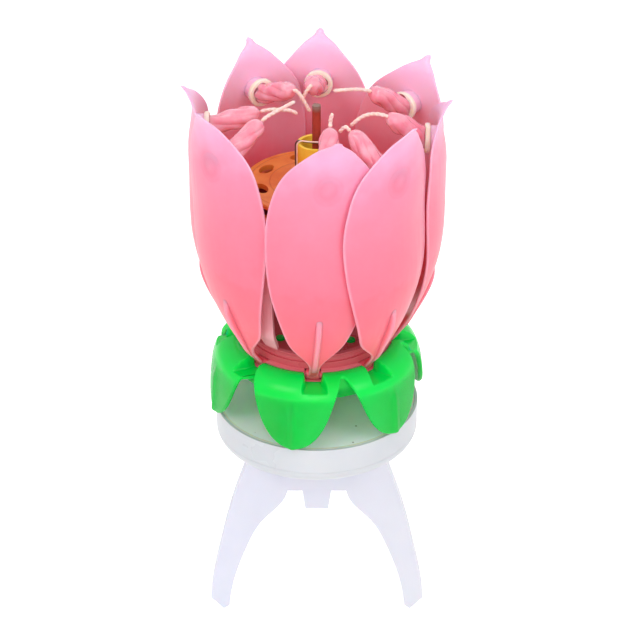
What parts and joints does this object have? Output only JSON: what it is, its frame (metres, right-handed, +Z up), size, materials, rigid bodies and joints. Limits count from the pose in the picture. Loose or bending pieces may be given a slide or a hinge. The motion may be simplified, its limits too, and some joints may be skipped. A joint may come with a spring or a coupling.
{
  "type": "flower-shaped birthday candle",
  "caption": "Closed pink petal bud on a leafy green calyx that turns on a white drum, with small candles inside the hinged petals, a fountain tube and a cake fork.",
  "frame": {"origin": "on the turning axis, at the height of the fork's two tips", "axes": "+Z up along the turning axis, -Y to the viewer, +X to the viewer's right, along the fork's spread"},
  "size_m": [0.0585, 0.0613, 0.1408],
  "materials": {
    "fork_plastic": "smooth white moulding",
    "drum_plastic": "smooth white moulding",
    "lid_plastic": "milky white moulding",
    "steel": "drawn steel",
    "cell_steel": "bright nickel-plated steel",
    "brass": "plain brass",
    "board": "green lacquered board",
    "gear_plastic": "natural moulded acetal",
    "calyx_green": "glossy bright green moulding",
    "hub_pink": "pink moulding",
    "cup_pink": "pale pink translucent moulding",
    "petal_pink": "pink translucent moulding, satin",
    "seat_cream": "cream moulding",
    "candle_wax": "pink translucent wax",
    "wick_cotton": "waxed cotton",
    "pod_orange": "orange moulding",
    "tube_yellow": "yellow paper tube",
    "charge": "grey pressed charge",
    "fuse_red": "brown-red waxed stick"
  },
  "bodies": {
    "base": {"stand": "fork_plastic", "base_cup": "drum_plastic", "base_lid": "lid_plastic", "spindle": "steel", "motor": "steel", "idler_pin": "steel", "button_cell_1": "cell_steel", "button_cell_2": "cell_steel", "button_cell_3": "cell_steel", "battery_contact_lower": "brass", "battery_contact_upper": "brass", "sound_disc": "brass", "circuit_board": "board"},
    "flower": {"drive_gear": "gear_plastic", "calyx": "calyx_green", "petal_hub": "hub_pink", "inner_cup": "cup_pink", "pod_body": "pod_orange", "pod_plate": "pod_orange", "fountain_tube": "tube_yellow", "fountain_core": "charge", "fuse": "fuse_red", "trigger_wire": "steel", "tie_thread": "wick_cotton"},
    "idler": {"idler_gear": "gear_plastic"},
    "pinion": {"motor_pinion": "brass"},
    "petal_1_body": {"petal_1": "petal_pink", "candle_seat_1": "seat_cream", "candle_1": "candle_wax", "wick_1": "wick_cotton"},
    "petal_2_body": {"petal_2": "petal_pink", "candle_seat_2": "seat_cream", "candle_2": "candle_wax", "wick_2": "wick_cotton"},
    "petal_3_body": {"petal_3": "petal_pink", "candle_seat_3": "seat_cream", "candle_3": "candle_wax", "wick_3": "wick_cotton"},
    "petal_4_body": {"petal_4": "petal_pink", "candle_seat_4": "seat_cream", "candle_4": "candle_wax", "wick_4": "wick_cotton"},
    "petal_5_body": {"petal_5": "petal_pink", "candle_seat_5": "seat_cream", "candle_5": "candle_wax", "wick_5": "wick_cotton"},
    "petal_6_body": {"petal_6": "petal_pink", "candle_seat_6": "seat_cream", "candle_6": "candle_wax", "wick_6": "wick_cotton"},
    "petal_7_body": {"petal_7": "petal_pink", "candle_seat_7": "seat_cream", "candle_7": "candle_wax", "wick_7": "wick_cotton"},
    "petal_8_body": {"petal_8": "petal_pink", "candle_seat_8": "seat_cream", "candle_8": "candle_wax", "wick_8": "wick_cotton"}
  },
  "joints": [
    {"name": "flower_spin", "type": "hinge", "parent": "base", "child": "flower", "pos_m": [0, 0, 0.06], "axis": [0, 0, 1], "continuous": true},
    {"name": "idler_spin", "type": "hinge", "parent": "base", "child": "idler", "pos_m": [0.00881, 0.00617, 0.0565], "axis": [0, 0, 1], "continuous": true},
    {"name": "pinion_spin", "type": "hinge", "parent": "base", "child": "pinion", "pos_m": [0.00789, 0.01361, 0.0565], "axis": [0, 0, 1], "continuous": true},
    {"name": "petal_1_open", "type": "hinge", "parent": "flower", "child": "petal_1_body", "pos_m": [-0.00084, -0.01608, 0.0759], "axis": [0.9986, -0.0523, 0], "range_deg": [0, 50]},
    {"name": "petal_2_open", "type": "hinge", "parent": "flower", "child": "petal_2_body", "pos_m": [0.01077, -0.01196, 0.0759], "axis": [0.7431, 0.6691, 0], "range_deg": [0, 50]},
    {"name": "petal_3_open", "type": "hinge", "parent": "flower", "child": "petal_3_body", "pos_m": [0.01608, -0.00084, 0.0759], "axis": [0.0523, 0.9986, 0], "range_deg": [0, 50]},
    {"name": "petal_4_open", "type": "hinge", "parent": "flower", "child": "petal_4_body", "pos_m": [0.01196, 0.01077, 0.0759], "axis": [-0.6691, 0.7431, 0], "range_deg": [0, 50]},
    {"name": "petal_5_open", "type": "hinge", "parent": "flower", "child": "petal_5_body", "pos_m": [0.00084, 0.01608, 0.0759], "axis": [-0.9986, 0.0523, 0], "range_deg": [0, 50]},
    {"name": "petal_6_open", "type": "hinge", "parent": "flower", "child": "petal_6_body", "pos_m": [-0.01077, 0.01196, 0.0759], "axis": [-0.7431, -0.6691, 0], "range_deg": [0, 50]},
    {"name": "petal_7_open", "type": "hinge", "parent": "flower", "child": "petal_7_body", "pos_m": [-0.01608, 0.00084, 0.0759], "axis": [-0.0523, -0.9986, 0], "range_deg": [0, 50]},
    {"name": "petal_8_open", "type": "hinge", "parent": "flower", "child": "petal_8_body", "pos_m": [-0.01196, -0.01077, 0.0759], "axis": [0.6691, -0.7431, 0], "range_deg": [0, 50]}
  ],
  "couplings": [
    {"joint": "idler_spin", "follows": "flower_spin", "ratio": -3.7778},
    {"joint": "pinion_spin", "follows": "flower_spin", "ratio": 10.389},
    {"joint": "petal_2_open", "follows": "petal_1_open", "ratio": 1},
    {"joint": "petal_3_open", "follows": "petal_1_open", "ratio": 1},
    {"joint": "petal_4_open", "follows": "petal_1_open", "ratio": 1},
    {"joint": "petal_5_open", "follows": "petal_1_open", "ratio": 1},
    {"joint": "petal_6_open", "follows": "petal_1_open", "ratio": 1},
    {"joint": "petal_7_open", "follows": "petal_1_open", "ratio": 1},
    {"joint": "petal_8_open", "follows": "petal_1_open", "ratio": 1}
  ]
}
